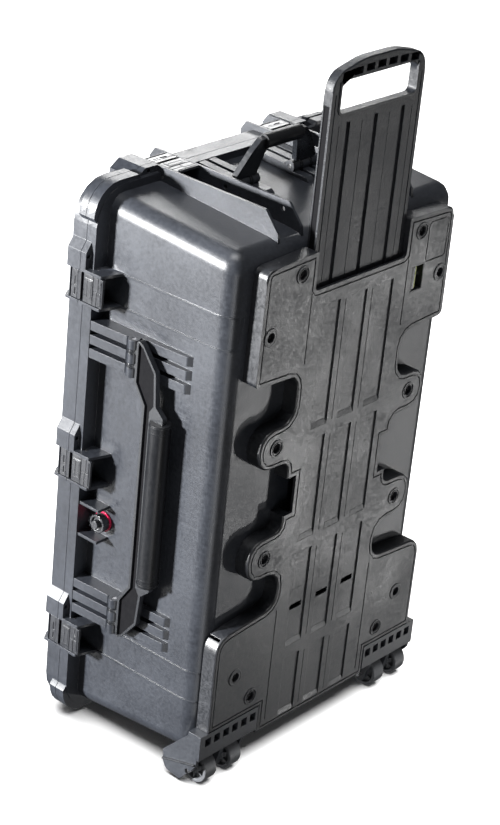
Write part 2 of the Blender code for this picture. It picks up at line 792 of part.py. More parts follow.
def make_handle(name, frame, middle, arm, strip_v, grip_v, grip_radius, grip_half):
    """A frame of two arms and a flat bar, and a soft grip that wraps the bar.

    arm lists the right arm's outline as (w, v) corners, from its inner edge round to the bar.
    """
    outline = list(arm) + [(-w, v, *rest) for w, v, *rest in reversed(arm)]
    flat = [Vector((p[1], p[0])) for p in fillet(outline, 3)]
    # the outline lies in the v-w plane, and its extrusion runs along u
    plate = outline_solid(flat, "YZ", *HANDLE_PLATE, frame)
    plate.name = f"{name}_plate"
    fuse(plate, handle_barrels(middle, frame))
    cut(plate, handle_bores(frame, middle))
    place = world_point(frame, HANDLE_PIVOT_U, HANDLE_PIVOT_V)
    finish_part(plate, name, "handle", place)

    grip = cylinder((HANDLE_PIVOT_U, grip_v, 0.0), grip_radius, 2 * grip_half, "Z", 18, frame)
    grip.name = f"{name}_grip_bar"
    bar_low = min(p[1] for p in arm)
    room = box(
        (HANDLE_PLATE[0] - GAP, bar_low - GAP, -grip_half - 0.02),
        (HANDLE_PLATE[1] + GAP, strip_v + 0.05, grip_half + 0.02),
        frame,
    )
    cut(grip, [room])
    finish_part(grip, f"{name}_grip", "rubber", place)


def make_handle_pins(name, frame, middle):
    sides = ("lower", "upper") if name == "side_handle" else ("left", "right")
    for side, sign in zip(sides, (1, -1)):
        centre = Vector((HANDLE_PIVOT_U, HANDLE_PIVOT_V, sign * middle))
        length = 2 * RIB_PITCH + 2 * RIB_HALF - 0.001
        pin = cylinder(centre, HANDLE_PIN_RADIUS, length, "Z", 12, frame)
        finish_part(pin, f"{name}_pin_{side}", "steel", world_point(frame, *centre))


SIDE_ARM = (
    (0.134, -0.017, 0.006),
    (0.160, 0.0004),
    (0.222, 0.0004, 0.004),
    (0.216, -0.012),
    (0.186, -0.036, 0.006),
    (0.140, -0.040),
    (0.128, -0.054, 0.004),
)
TOP_ARM = (
    (0.030, -0.036, 0.006),
    (0.040, 0.0004),
    (0.082, 0.0004, 0.003),
    (0.060, -0.034, 0.006),
    (0.046, -0.050, 0.004),
)
TOP_HANDLE_ANGLE = 80.0  # how far the top handle stands up from lying flat


def make_carrying_handles():
    make_handle("side_handle", SIDE_HANDLE, SIDE_HANDLE_RIB, SIDE_ARM, -0.017, -0.047, 0.0145, 0.120)
    make_handle_pins("side_handle", SIDE_HANDLE, SIDE_HANDLE_RIB)
    raised = handle_spin(TOP_HANDLE, TOP_HANDLE_ANGLE)
    make_handle("top_handle", raised, TOP_HANDLE_RIB, TOP_ARM, -0.030, -0.044, 0.0100, 0.036)
    make_handle_pins("top_handle", TOP_HANDLE, TOP_HANDLE_RIB)


# ---- Trolley ------------------------------------------------------------------------------
PANEL_HALF = (  # right half of the trolley panel's outline as (x, z, radius), from the notch down
    (0.0935, NOTCH_Z, 0.006),
    (0.0935, 0.754, 0.003),
    (0.191, 0.750, 0.012),
    (0.193, 0.591, 0.008),
    (0.107, 0.587, 0.022),
    (0.107, 0.519, 0.022),
    (0.171, 0.519, 0.026),
    (0.171, 0.462, 0.026),
    (0.108, 0.461, 0.015),
    (0.108, 0.436),
    (0.090, 0.436),
    (0.090, 0.380),
    (0.108, 0.380),
    (0.108, 0.358, 0.012),
    (0.171, 0.356, 0.026),
    (0.171, 0.297, 0.026),
    (0.103, 0.295, 0.024),
    (0.103, 0.240, 0.022),
    (0.218, 0.230, 0.024),
    (0.218, 0.0855),
    (0.1155, 0.0855),
    (0.1155, 0.041),
)


def panel_back_rooms():
    """The handle's channel down the middle, and hollows behind the wings."""
    back = BASE_BACK_Y + 0.02
    low_z = PLATE_LOW_Z - TROLLEY_TRAVEL - 0.012
    rooms = [box((-0.0931, PANEL_Y + PANEL_SKIN, low_z), (0.0931, back, 0.8))]
    for sign in (-1, 1):
        for x0, z0, x1, z1 in ((0.142, 0.600, 0.186, 0.640), (0.142, 0.676, 0.186, 0.744)):
            lo = (min(sign * x0, sign * x1), PANEL_Y + PANEL_SKIN, z0)
            hi = (max(sign * x0, sign * x1), back, z1)
            rooms.append(box(lo, hi))
        lo = (min(sign * 0.110, sign * 0.210), PANEL_Y + PANEL_SKIN, 0.176)
        hi = (max(sign * 0.110, sign * 0.210), back, 0.228)
        rooms.append(box(lo, hi))
    rooms.append(box((-0.088, PANEL_Y + PANEL_SKIN, 0.055), (0.088, back, 0.260)))
    return rooms


def make_panel():
    outline = list(PANEL_HALF) + [(-x, z, *rest) for x, z, *rest in reversed(PANEL_HALF)]
    panel = outline_solid(fillet(outline, 3), "XZ", PANEL_Y, BASE_BACK_Y - GAP)
    panel.name = "panel_plate"
    removed = panel_back_rooms()
    for x in GROOVE_X:
        for low, high in GROOVE_Z:
            lo = (x - GROOVE_HALF, PANEL_Y - 0.01, low)
            removed.append(box(lo, (x + GROOVE_HALF, PANEL_Y + GROOVE_DEPTH, high)))
        slot = ((x - 0.0145, PANEL_Y - 0.01, 0.219), (x + 0.0105, PANEL_Y + 0.006, 0.227))
        removed.append(box(*slot))
    (x0, z0), (x1, z1) = WINDOW
    removed.append(box((x0, PANEL_Y - 0.01, z0), (x1, BASE_BACK_Y + 0.01, z1)))
    # the release button's way from the window into the handle's channel
    removed.append(box((0.090, -0.1460, z0 + 0.008), (x1, -0.1365, z1 - 0.008)))
    for x, z in SCREWS:
        for sign in (-1, 1):
            hole = (sign * x, PANEL_Y, z)
            removed.append(cylinder(hole, SCREW_HEAD + CLEARANCE, 0.016, "Y", 12))
    added = []
    for x, z in SCREWS[1:5:3]:
        for sign in (-1, 1):
            centre = (sign * x, PANEL_Y + 0.002, z)
            added.append(cylinder(centre, SCREW_BOSS, 0.006, "Y", 20))
    fuse(panel, added)
    cut(panel, removed)
    finish_part(panel, "trolley_panel", "panel")


def make_screws():
    number = 0
    for sign in (-1, 1):
        for x, z in SCREWS:
            number += 1
            place = (sign * x, PANEL_Y + 0.0055, z)
            screw = cylinder(place, SCREW_HEAD, 0.004, "Y", 12)
            screw.name = "screw_head"
            cut(screw, [cylinder((place[0], PANEL_Y + 0.003, z), 0.0028, 0.004, "Y", 6)])
            finish_part(screw, f"panel_screw_{number:02d}", "steel", place)


def make_trolley_handle():
    """A flat plate with an arched grip, a hand hole and three grooves."""
    shoulder = PLATE_TOP_Z - PLATE_ARCH
    corners = [
        (-PLATE_X, PLATE_LOW_Z, 0.004),
        (PLATE_X, PLATE_LOW_Z, 0.004),
        (PLATE_X, shoulder, 0.026),
        (0.035, PLATE_TOP_Z, 0.12),
        (-0.035, PLATE_TOP_Z, 0.12),
        (-PLATE_X, shoulder, 0.026),
    ]
    plate = outline_solid(fillet(corners, 5), "XZ", *PLATE_Y)
    plate.name = "trolley_plate"
    hole = [
        (-0.078, 0.927, 0.008),
        (0.078, 0.927, 0.008),
        (0.078, 0.970, 0.014),
        (-0.078, 0.970, 0.014),
    ]
    removed = [outline_solid(fillet(hole, 4), "XZ", -0.16, -0.12)]
    for x in GROOVE_X:
        low = (x - 0.0035, PLATE_Y[0] - 0.01, PLATE_LOW_Z + 0.02)
        removed.append(box(low, (x + 0.0035, PLATE_Y[0] + 0.003, 0.915)))
    # hollows in the grip's front, between stiffening webs
    for k in range(7):
        x = (k - 3) * 0.0225
        z = 0.9755 - 0.0035 * (k - 3) ** 2 / 9
        low = (x - 0.0080, PLATE_Y[0] - 0.01, z)
        removed.append(box(low, (x + 0.0080, PLATE_Y[0] + 0.008, z + 0.0095)))
    # the notch that the release button's nose drops into
    (_, z0), (_, z1) = WINDOW
    low = (PLATE_X - 0.006, -0.148, z0 + 0.006)
    removed.append(box(low, (PLATE_X + 0.01, -0.130, z1 - 0.006)))
    cut(plate, removed)
    finish_part(plate, "trolley_handle", "panel", (0.0, sum(PLATE_Y) / 2, PLATE_LOW_Z))


def make_release():
    """A button that slides away from the handle plate, and the spring that returns it."""
    (x0, z0), (x1, z1) = WINDOW
    middle = (z0 + z1) / 2
    body_x = (x0 + 0.001, x0 + 0.011)
    button = box((body_x[0], -0.1520, z0 + 0.002), (body_x[1], -0.1350, z1 - 0.002))
    button.name = "release_body"
    nose = box((PLATE_X + 2 * GAP, -0.1455, z0 + 0.009), (body_x[0] + 0.002, -0.1370, z1 - 0.009))
    fuse(button, [nose])
    place = (body_x[0], -0.143, middle)
    finish_part(button, "release_button", "release", place)
    spring_x = (body_x[1] + 0.0062, x1 - GAP)
    spring = cylinder(
        ((spring_x[0] + spring_x[1]) / 2, -0.1435, middle), 0.004, spring_x[1] - spring_x[0], "X", 12
    )
    finish_part(spring, "release_spring", "steel", place)


# ---- Wheels -------------------------------------------------------------------------------
OUTER_PLATE = (  # (y, z) outline of the folded plate outside the wheels
    (-0.091, 0.036, 0.002),
    (-0.092, 0.018, 0.004),
    (-0.098, 0.007, 0.006),
    (-0.124, 0.0035, 0.006),
    (-0.150, 0.036, 0.004),
    (-0.1545, 0.070),
    (-0.1545, 0.084),
    (-0.137, 0.084),
    (-0.110, 0.056),
)
INNER_PLATE = ((-0.1440, 0.011, 0.007), (-0.1540, 0.050), (-0.1330, 0.050), (-0.1290, 0.011, 0.007))
HOUSING_X = (0.1160, 0.2330)


def mirrored(low, high, sign):
    return (low, high) if sign > 0 else (-high, -low)


def make_housing(name, sign):
    low_x, high_x = mirrored(*HOUSING_X, sign)
    back = BASE_BACK_Y - GAP
    housing = box((low_x, PANEL_Y, 0.047), (high_x, back, 0.0852))
    housing.name = f"{name}_block"
    added = []
    outer = mirrored(0.2280, 0.2330, sign)
    added.append(outline_solid(fillet(OUTER_PLATE, 3), "YZ", *outer))
    for low, high in ((0.1380, 0.1440), (0.1790, 0.1870)):
        web = mirrored(low, high, sign)
        added.append(outline_solid(fillet(INNER_PLATE, 3), "YZ", *web))
    removed = [cylinder((sign * 0.18, WHEEL_Y, WHEEL_RADIUS), AXLE_RADIUS + CLEARANCE, 0.2, "X", 12)]
    for k in range(6):
        x = sign * (0.126 + 0.0182 * k)
        low = (x - 0.0055, PANEL_Y - 0.01, 0.066)
        removed.append(box(low, (x + 0.0055, PANEL_Y + 0.012, 0.078)))
    fuse(housing, added)
    cut(housing, removed)
    finish_part(housing, name, "panel")


def make_wheel(name, x):
    """A turned tyre and hub: its profile runs down the outer side, and Screw turns it round X."""
    half = WHEEL_WIDTH / 2
    bore = AXLE_RADIUS + CLEARANCE
    profile = (
        (bore, half),
        (0.008, half),
        (0.009, half - 0.005),
        (0.016, half - 0.005),
        (0.017, half),
        (WHEEL_RADIUS, half),
        (WHEEL_RADIUS, -half),
        (0.017, -half),
        (0.016, 0.005 - half),
        (0.009, 0.005 - half),
        (0.008, -half),
        (bore, -half),
    )
    bm = bmesh.new()
    points = [bm.verts.new((radius, 0.0, height)) for radius, height in profile]
    for i, point in enumerate(points):
        bm.edges.new((point, points[(i + 1) % len(points)]))
    mesh = bpy.data.meshes.new(name)
    bm.to_mesh(mesh)
    bm.free()
    wheel = bpy.data.objects.new(name, mesh)
    PARTS.objects.link(wheel)
    turn = wheel.modifiers.new("Screw", "SCREW")
    turn.axis = "Z"
    turn.steps = 20
    turn.render_steps = 20
    turn.use_merge_vertices = True
    turn.merge_threshold = 0.00001
    turn.use_smooth_shade = True
    mesh.materials.append(MATERIALS["wheel"])
    wheel.rotation_euler = (0.0, math.pi / 2, 0.0)
    wheel.location = (x, WHEEL_Y, WHEEL_RADIUS)


def make_wheels():
    for side, sign in (("left", -1), ("right", 1)):
        make_housing(f"wheel_housing_{side}", sign)
        place = (sign * 0.1820, WHEEL_Y, WHEEL_RADIUS)
        axle = cylinder(place, AXLE_RADIUS, 0.0960, "X", 12)
        finish_part(axle, f"wheel_axle_{side}", "steel", place)
        for where, x in zip(("inner", "outer"), WHEEL_X):
            make_wheel(f"wheel_{side}_{where}", sign * x)


# ---- Purge valve --------------------------------------------------------------------------
def make_valve():
    y, z = VALVE_YZ
    wall_x = -BODY_X
    ring_x = (wall_x - 0.0026, wall_x - GAP)
    red = cylinder((sum(ring_x) / 2, y, z), 0.0145, ring_x[1] - ring_x[0], "X", 28)
    red.name = "valve_ring_disc"
    cut(red, [cylinder((wall_x, y, z), 0.0070, 0.030, "X", 16)])
    finish_part(red, "purge_valve_ring", "red")

    face_x = wall_x - 0.0140
    foot_x = ring_x[0] - GAP
    body = cylinder(((face_x + foot_x) / 2, y, z), 0.0130, foot_x - face_x, "X", 24)
    body.name = "valve_cap"
    stem = cylinder((wall_x - 0.0020, y, z), 0.0060, 0.020, "X", 16)
    rim = cylinder((face_x, y, z), 0.0100, 0.006, "X", 24)
    knob = cylinder((face_x - 0.0005, y, z), 0.0060, 0.009, "X", 16)
    cut(body, [rim])
    fuse(body, [stem, knob])
    finish_part(body, "purge_valve_body", "latch")


make_base()
make_lid()
make_seal()
make_hinge_pins()
make_latches()
make_carrying_handles()
make_panel()
make_screws()
make_trolley_handle()
make_release()
make_wheels()
make_valve()
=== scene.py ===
"""Looks of a wheeled hard equipment case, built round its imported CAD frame."""

import json
import math

import bmesh
import bpy
from mathutils import Matrix, Vector


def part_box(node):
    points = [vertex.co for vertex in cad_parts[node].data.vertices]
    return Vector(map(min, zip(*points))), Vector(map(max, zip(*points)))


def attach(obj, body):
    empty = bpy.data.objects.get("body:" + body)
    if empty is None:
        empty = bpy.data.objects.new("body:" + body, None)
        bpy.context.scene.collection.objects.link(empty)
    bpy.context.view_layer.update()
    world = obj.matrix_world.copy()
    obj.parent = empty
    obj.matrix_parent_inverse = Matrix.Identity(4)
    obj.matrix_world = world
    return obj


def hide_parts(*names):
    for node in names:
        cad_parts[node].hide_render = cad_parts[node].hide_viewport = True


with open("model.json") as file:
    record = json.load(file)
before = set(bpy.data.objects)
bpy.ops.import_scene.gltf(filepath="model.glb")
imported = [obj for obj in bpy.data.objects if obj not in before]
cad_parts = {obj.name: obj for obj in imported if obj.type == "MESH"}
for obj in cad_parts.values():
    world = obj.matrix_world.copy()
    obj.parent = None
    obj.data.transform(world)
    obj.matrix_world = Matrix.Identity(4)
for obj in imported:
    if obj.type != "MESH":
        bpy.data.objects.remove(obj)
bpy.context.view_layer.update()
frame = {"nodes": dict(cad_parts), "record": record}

NODES = frame["nodes"]
SLOT_OF = {part["node"]: part["material_slot"] for part in frame["record"]["subparts"]}
BODY_OF = {}
for body_name, members in frame["record"]["behaviour"]["bodies"].items():
    for member in members:
        BODY_OF[member] = body_name

# ---- Driving values, with lengths in metres ------------------------------------------------
SAME_POINT = 1e-6
FLAT_ANGLE = math.radians(0.5)
HOOK_PIN = (-0.005, 0.078)  # a latch pin's u and v in its rim frame
LEVER_FACE_U = 0.008
LATCH_HALF = 0.0198
PAD_V = (0.0765, 0.0835)  # the pad near a lever's pivot
PAD_HALF = 0.0118
SCREW_BOSS_PROUD = 0.001
PANEL_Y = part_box("trolley_panel")[0][1] + SCREW_BOSS_PROUD
CHANNEL_X = (-0.055, 0.0, 0.055)
CHANNEL_HALF = 0.0165
CHANNEL_Z = ((0.497, 0.675), (0.329, 0.481), (0.163, 0.310), (0.050, 0.144))
RIB_X = 0.0275  # the middle of the ribs between the channels
WING_GROOVE_X = 0.0995
WING_GROOVE_Z = ((0.600, 0.742), (0.056, 0.232))
WINDOW_X = (0.1115, 0.1365)  # the release button's window, over its raised rim
WINDOW_Z = (0.6435, 0.6815)
# outer and inner radius, height, and how far in front of the face the middle is
SCREW_RINGS = ((0.0124, 0.0100, 0.0022, 0.0002), (0.0084, 0.0070, 0.0016, 0.0001))
PLATE_LOW, PLATE_HIGH = (Vector(corner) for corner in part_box("trolley_handle"))
PLATE_LINES_X = (0.0275, 0.0735)
HAND_HOLE = (0.078, PLATE_HIGH.z - 0.0665, PLATE_HIGH.z - 0.0235)  # half width, low z, high z
TOP_HANDLE_TURN = 80.0  # degrees from lying flat to standing as it does at rest
SPOKE_COUNT = 6
VALVE_GRIP_COUNT = 12
CAMERA_PLACE = (-2.2206, -1.7831, 1.8423)
CAMERA_AZIMUTH = -51.147  # degrees, like the next two
CAMERA_ELEVATION = 26.253
CAMERA_ROLL = 5.843
CAMERA_LENS = 100.82  # mm on a 36 mm sensor


# ---- Material nodes ------------------------------------------------------------------------
MOTTLE_SCALE = 210.0
BROAD_SCALE = 9.0
SCUFF_LIGHTENS = 1.6
SCUFF_ROUGHENS = 0.3
SOFT_EDGE = 0.0008


def ramp(nodes, links, source, low, high, out_low, out_high):
    """A map-range node from low..high to out_low..out_high, clamped."""
    node = nodes.new("ShaderNodeMapRange")
    node.inputs["From Min"].default_value = low
    node.inputs["From Max"].default_value = high
    node.inputs["To Min"].default_value = out_low
    node.inputs["To Max"].default_value = out_high
    links.new(source, node.inputs["Value"])
    return node.outputs["Result"]


def noise(nodes, links, coords, scale, detail, stretch=(1.0, 1.0, 1.0), turn=(0.0, 0.0, 0.0)):
    """A noise texture's value, on coordinates that are stretched and then turned."""
    mapping = nodes.new("ShaderNodeMapping")
    mapping.inputs["Scale"].default_value = stretch
    mapping.inputs["Rotation"].default_value = turn
    links.new(coords, mapping.inputs["Vector"])
    node = nodes.new("ShaderNodeTexNoise")
    node.inputs["Scale"].default_value = scale
    node.inputs["Detail"].default_value = detail
    links.new(mapping.outputs["Vector"], node.inputs["Vector"])
    return node.outputs["Fac"]


def mixed_colour(nodes, links, factor, dark, light):
    """The colour from dark to light that a factor of 0 to 1 picks."""
    node = nodes.new("ShaderNodeMix")
    node.data_type = "RGBA"
    colours = [socket for socket in node.inputs if socket.type == "RGBA"]
    colours[0].default_value = (*dark, 1.0)
    colours[1].default_value = (*light, 1.0)
    links.new(factor, node.inputs["Factor"])
    return next(socket for socket in node.outputs if socket.type == "RGBA")


def combined(nodes, links, operation, first, second):
    """A maths node on a socket and either another socket or a number."""
    node = nodes.new("ShaderNodeMath")
    node.operation = operation
    links.new(first, node.inputs[0])
    if isinstance(second, float):
        node.inputs[1].default_value = second
    else:
        links.new(second, node.inputs[1])
    return node.outputs[0]


def scuff_mask(nodes, links, coords, amount):
    """Hairline scratches that gather in patches, from 0 to amount."""
    level_noise = noise(nodes, links, coords, 38.0, 6.0, (1.0, 1.2, 14.0), (0.12, 0.0, 0.3))
    upright_noise = noise(nodes, links, coords, 30.0, 6.0, (1.0, 12.0, 1.5), (0.9, 0.2, 0.0))
    where = noise(nodes, links, coords, 7.0, 3.0)
    level = ramp(nodes, links, level_noise, 0.56, 0.68, 0.0, 1.0)
    upright = ramp(nodes, links, upright_noise, 0.58, 0.68, 0.0, 0.8)
    lines = combined(nodes, links, "MAXIMUM", level, upright)
    patches = ramp(nodes, links, where, 0.42, 0.62, 0.0, amount)
    return combined(nodes, links, "MULTIPLY", lines, patches)


def moulded(name, dark, light, rough, grain, bump, specular, scuffs=0.0, metallic=0.0):
    """Moulded or turned stock: grain in the bump, mottled colour and gloss, scuffs, softened edges.

    rough is a range of roughness, grain the scale of the finest noise, and bump a height in metres.
    """
    material = bpy.data.materials.new(name)
    material.use_nodes = True
    material.diffuse_color = (*light, 1.0)
    nodes = material.node_tree.nodes
    links = material.node_tree.links
    shader = nodes["Principled BSDF"]
    shader.inputs["Metallic"].default_value = metallic
    shader.inputs["Specular IOR Level"].default_value = specular
    coords = nodes.new("ShaderNodeTexCoord").outputs["Object"]
    fine = noise(nodes, links, coords, grain, 2.0)
    patches = noise(nodes, links, coords, MOTTLE_SCALE, 4.0)
    broad = noise(nodes, links, coords, BROAD_SCALE, 3.0)
    tone = combined(nodes, links, "ADD", patches, broad)
    factor = ramp(nodes, links, tone, 0.70, 1.30, 0.0, 1.0)
    roughness = ramp(nodes, links, tone, 0.75, 1.25, rough[0], rough[1])
    if scuffs:
        wear = scuff_mask(nodes, links, coords, scuffs)
        lighter = combined(nodes, links, "MULTIPLY", wear, SCUFF_LIGHTENS)
        factor = combined(nodes, links, "ADD", factor, lighter)
        rougher = combined(nodes, links, "MULTIPLY", wear, SCUFF_ROUGHENS)
        roughness = combined(nodes, links, "ADD", roughness, rougher)
    links.new(mixed_colour(nodes, links, factor, dark, light), shader.inputs["Base Color"])
    links.new(roughness, shader.inputs["Roughness"])
    soft = nodes.new("ShaderNodeBevel")
    soft.samples = 4
    soft.inputs["Radius"].default_value = SOFT_EDGE
    height = nodes.new("ShaderNodeBump")
    height.inputs["Strength"].default_value = 1.0
    height.inputs["Distance"].default_value = bump
    links.new(soft.outputs["Normal"], height.inputs["Normal"])
    links.new(combined(nodes, links, "ADD", fine, patches), height.inputs["Height"])
    links.new(height.outputs["Normal"], shader.inputs["Normal"])
    return material


LOOKS = {
    "shell": dict(
        dark=(0.016, 0.018, 0.023), light=(0.032, 0.036, 0.045), rough=(0.34, 0.44),
        grain=1400.0, bump=0.00012, scuffs=0.30, specular=0.65,
    ),
    "housing": dict(
        dark=(0.020, 0.022, 0.027), light=(0.040, 0.044, 0.052), rough=(0.34, 0.46),
        grain=1300.0, bump=0.00012, scuffs=0.30, specular=0.60,
    ),
    "panel": dict(
        dark=(0.006, 0.007, 0.009), light=(0.020, 0.022, 0.027), rough=(0.28, 0.50),
        grain=1200.0, bump=0.00016, scuffs=0.50, specular=0.75,
    ),
    "trolley": dict(
        dark=(0.007, 0.008, 0.010), light=(0.024, 0.026, 0.031), rough=(0.32, 0.48),
        grain=700.0, bump=0.00034, scuffs=0.30, specular=0.36,
    ),
    "latch": dict(
        dark=(0.012, 0.013, 0.016), light=(0.024, 0.026, 0.031), rough=(0.26, 0.38),
        grain=1500.0, bump=0.00007, scuffs=0.50, specular=0.85,
    ),
    "handle": dict(
        dark=(0.008, 0.009, 0.011), light=(0.018, 0.020, 0.024), rough=(0.26, 0.36),
        grain=1500.0, bump=0.00006, scuffs=0.30, specular=0.75,
    ),
    "grip": dict(
        dark=(0.005, 0.0055, 0.007), light=(0.010, 0.011, 0.013), rough=(0.36, 0.50),
        grain=1000.0, bump=0.00012, specular=0.35,
    ),
    # near-black, barely glossy floors for recesses and channels: painted shade, standing in for the shadow
    # inside them
    "seal": dict(
        dark=(0.004, 0.004, 0.005), light=(0.008, 0.008, 0.009), rough=(0.60, 0.75),
        grain=900.0, bump=0.00008, specular=0.06,
    ),
    "steel": dict(
        dark=(0.42, 0.42, 0.43), light=(0.60, 0.60, 0.62), rough=(0.22, 0.38),
        grain=900.0, bump=0.00003, metallic=1.0, specular=0.50,
    ),
    "dark_steel": dict(
        dark=(0.020, 0.020, 0.022), light=(0.05, 0.05, 0.055), rough=(0.28, 0.42),
        grain=900.0, bump=0.00003, metallic=0.6, specular=0.60,
    ),
    "wheel": dict(
        dark=(0.060, 0.063, 0.069), light=(0.120, 0.125, 0.135), rough=(0.38, 0.55),
        grain=900.0, bump=0.00014, scuffs=0.50, specular=0.60,
    ),
    "valve_red": dict(
        dark=(0.42, 0.008, 0.045), light=(0.62, 0.020, 0.090), rough=(0.22, 0.32),
        grain=900.0, bump=0.00003, specular=0.60,
    ),
    "release": dict(
        dark=(0.42, 0.50, 0.040), light=(0.58, 0.66, 0.070), rough=(0.30, 0.42),
        grain=900.0, bump=0.00003, specular=0.50,
    ),
}
MATERIALS = {name: moulded(name, **look) for name, look in LOOKS.items()}


# ---- Mesh tools ----------------------------------------------------------------------------
ALONG_Y = Matrix.Rotation(-math.pi / 2, 4, "X")
ALONG_Z = Matrix.Identity(4)
# from an outline's (x, y) to a frame's second and third axes, with the extrusion along its first
LYING = Matrix(((0, 0, 1, 0), (1, 0, 0, 0), (0, 1, 0, 0), (0, 0, 0, 1)))
# from an outline's (x, y) to (x, z), with the extrusion along -Y
FACE_ON = Matrix(((1, 0, 0, 0), (0, 0, -1, 0), (0, 1, 0, 0), (0, 0, 0, 1)))


def cleaned(mesh):
    """A mesh as a bmesh with its points merged and its flat faces joined."""
    bm = bmesh.new()
    bm.from_mesh(mesh)
    bmesh.ops.remove_doubles(bm, verts=bm.verts, dist=SAME_POINT)
    bmesh.ops.dissolve_limit(bm, angle_limit=FLAT_ANGLE, verts=bm.verts, edges=bm.edges)
    bm.normal_update()
    return bm


def cad_bmesh(node):
    return cleaned(NODES[node].data)


def block(low, high, place=Matrix.Identity(4)):
    """A box between two corners in place's own axes."""
    bm = bmesh.new()
    bmesh.ops.create_cube(bm, size=1.0)
    middle = (Vector(low) + Vector(high)) / 2
    size = Vector(high) - Vector(low)
    bm.transform(place @ Matrix.Translation(middle) @ Matrix.Diagonal((*size, 1.0)))
    return bm


def hoop(centre, outer, inner, length, turn, place=Matrix.Identity(4), sides=32):
    """A flat ring: a washer whose axis is Z before it is turned."""
    bm = bmesh.new()
    loops = []
    for radius, height in ((outer, -0.5), (outer, 0.5), (inner, 0.5), (inner, -0.5)):
        points = []
        for k in range(sides):
            angle = 2 * math.pi * k / sides
            spot = (radius * math.cos(angle), radius * math.sin(angle), height * length)
            points.append(bm.verts.new(spot))
        loops.append(points)
    join_loops(bm, loops, True)
    bm.transform(place @ Matrix.Translation(centre) @ turn)
    bmesh.ops.recalc_face_normals(bm, faces=bm.faces)
    return bm


def join_loops(bm, loops, closed):
    """Quads between each loop of points and the next, and from the last to the first if closed."""
    pairs = list(zip(loops, loops[1:]))
    if closed:
        pairs.append((loops[-1], loops[0]))
    for loop, following in pairs:
        for i in range(len(loop)):
            j = (i + 1) % len(loop)
            bm.faces.new((loop[i], loop[j], following[j], following[i]))


def prism(outline, low, high, place):
    """An outline of (x, y) in place's own plane, extruded from low to high along its z."""
    bm = bmesh.new()
    loops = [[bm.verts.new((x, y, level)) for x, y in outline] for level in (low, high)]
    join_loops(bm, loops, False)
    for loop in loops:
        bm.faces.new(loop)
    bm.transform(place)
    bmesh.ops.recalc_face_normals(bm, faces=bm.faces)
    return bm


def ribbon(path, width, low, high, place, closed=True):
    """A band of some width that follows a path of (x, y), extruded from low to high."""
    bm = bmesh.new()
    count = len(path)
    levels = []
    for level, side in ((low, 0.5), (high, 0.5), (high, -0.5), (low, -0.5)):
        points = []
        for i, here in enumerate(path):
            before = path[i - 1] if closed or i else here
            after = path[(i + 1) % count] if closed or i + 1 < count else here
            along = (Vector(after) - Vector(before)).normalized()
            spot = Vector(here) + side * width * Vector((-along.y, along.x))
            points.append(bm.verts.new((spot.x, spot.y, level)))
        levels.append(points)
    steps = count if closed else count - 1
    for loop, following in zip(levels, levels[1:] + levels[:1]):
        for i in range(steps):
            j = (i + 1) % count
            bm.faces.new((loop[i], loop[j], following[j], following[i]))
    if not closed:
        bm.faces.new([loop[0] for loop in levels])
        bm.faces.new([loop[-1] for loop in reversed(levels)])
    bm.transform(place)
    bmesh.ops.recalc_face_normals(bm, faces=bm.faces)
    return bm


def arc_corners(corners, steps=5):
    """The outline through corners of (x, y, radius), with each radius as an arc."""
    outline = []
    for i, (x, y, radius) in enumerate(corners):
        here = Vector((x, y))
        if not radius:
            outline.append(here)
            continue
        before = (Vector(corners[i - 1][:2]) - here).normalized()
        after = (Vector(corners[(i + 1) % len(corners)][:2]) - here).normalized()
        half = before.angle(after) / 2
        centre = here + (before + after).normalized() * (radius / math.sin(half))
        start = here + before * (radius / math.tan(half)) - centre
        end = here + after * (radius / math.tan(half)) - centre
        sweep = end.angle_signed(start)
        for k in range(steps + 1):
            outline.append(centre + Matrix.Rotation(sweep * k / steps, 2) @ start)
    return outline


def rounded_box(across, upward, radius, upper_radius=None):
    """The outline of a rectangle between two ranges, with rounded corners."""
    (x0, x1), (y0, y1) = across, upward
    upper = radius if upper_radius is None else upper_radius
    return arc_corners([(x0, y0, radius), (x1, y0, radius), (x1, y1, upper), (x0, y1, upper)])


def merged(pieces):
    """The bmeshes in one, each still its own closed shell."""
    whole = pieces[0]
    for piece in pieces[1:]:
        mesh = bpy.data.meshes.new("joining")
        piece.to_mesh(mesh)
        piece.free()
        whole.from_mesh(mesh)
        bpy.data.meshes.remove(mesh)
    return whole


def object_of(bm, name):
    """The bmesh as an object in the scene. The bmesh is freed."""
    mesh = bpy.data.meshes.new(name)
    bm.normal_update()
    bm.to_mesh(mesh)
    bm.free()
    obj = bpy.data.objects.new(name, mesh)
    bpy.context.scene.collection.objects.link(obj)
    return obj


def carved(bm, cutters):
    """bm with the cutters taken out of it."""
    target = object_of(bm, "carved")
    group = bpy.data.collections.new("cutters")
    bpy.context.scene.collection.children.link(group)
    tools = []
    for cutter in cutters:
        tool = object_of(cutter, "cutter")
        bpy.context.scene.collection.objects.unlink(tool)
        group.objects.link(tool)
        tools.append(tool)
    modifier = target.modifiers.new("Cut", "BOOLEAN")
    modifier.operation = "DIFFERENCE"
    modifier.operand_type = "COLLECTION"
    modifier.collection = group
    modifier.solver = "EXACT"
    graph = bpy.context.evaluated_depsgraph_get()
    mesh = bpy.data.meshes.new_from_object(target.evaluated_get(graph))
    for obj in [target, *tools]:
        bpy.data.objects.remove(obj)
    bpy.data.collections.remove(group)
    result = cleaned(mesh)
    bpy.data.meshes.remove(mesh)
    return result


def roomy(vert, room):
    """Whether every edge at a point is longer than room."""
    return all(edge.calc_length() > room for edge in vert.link_edges)


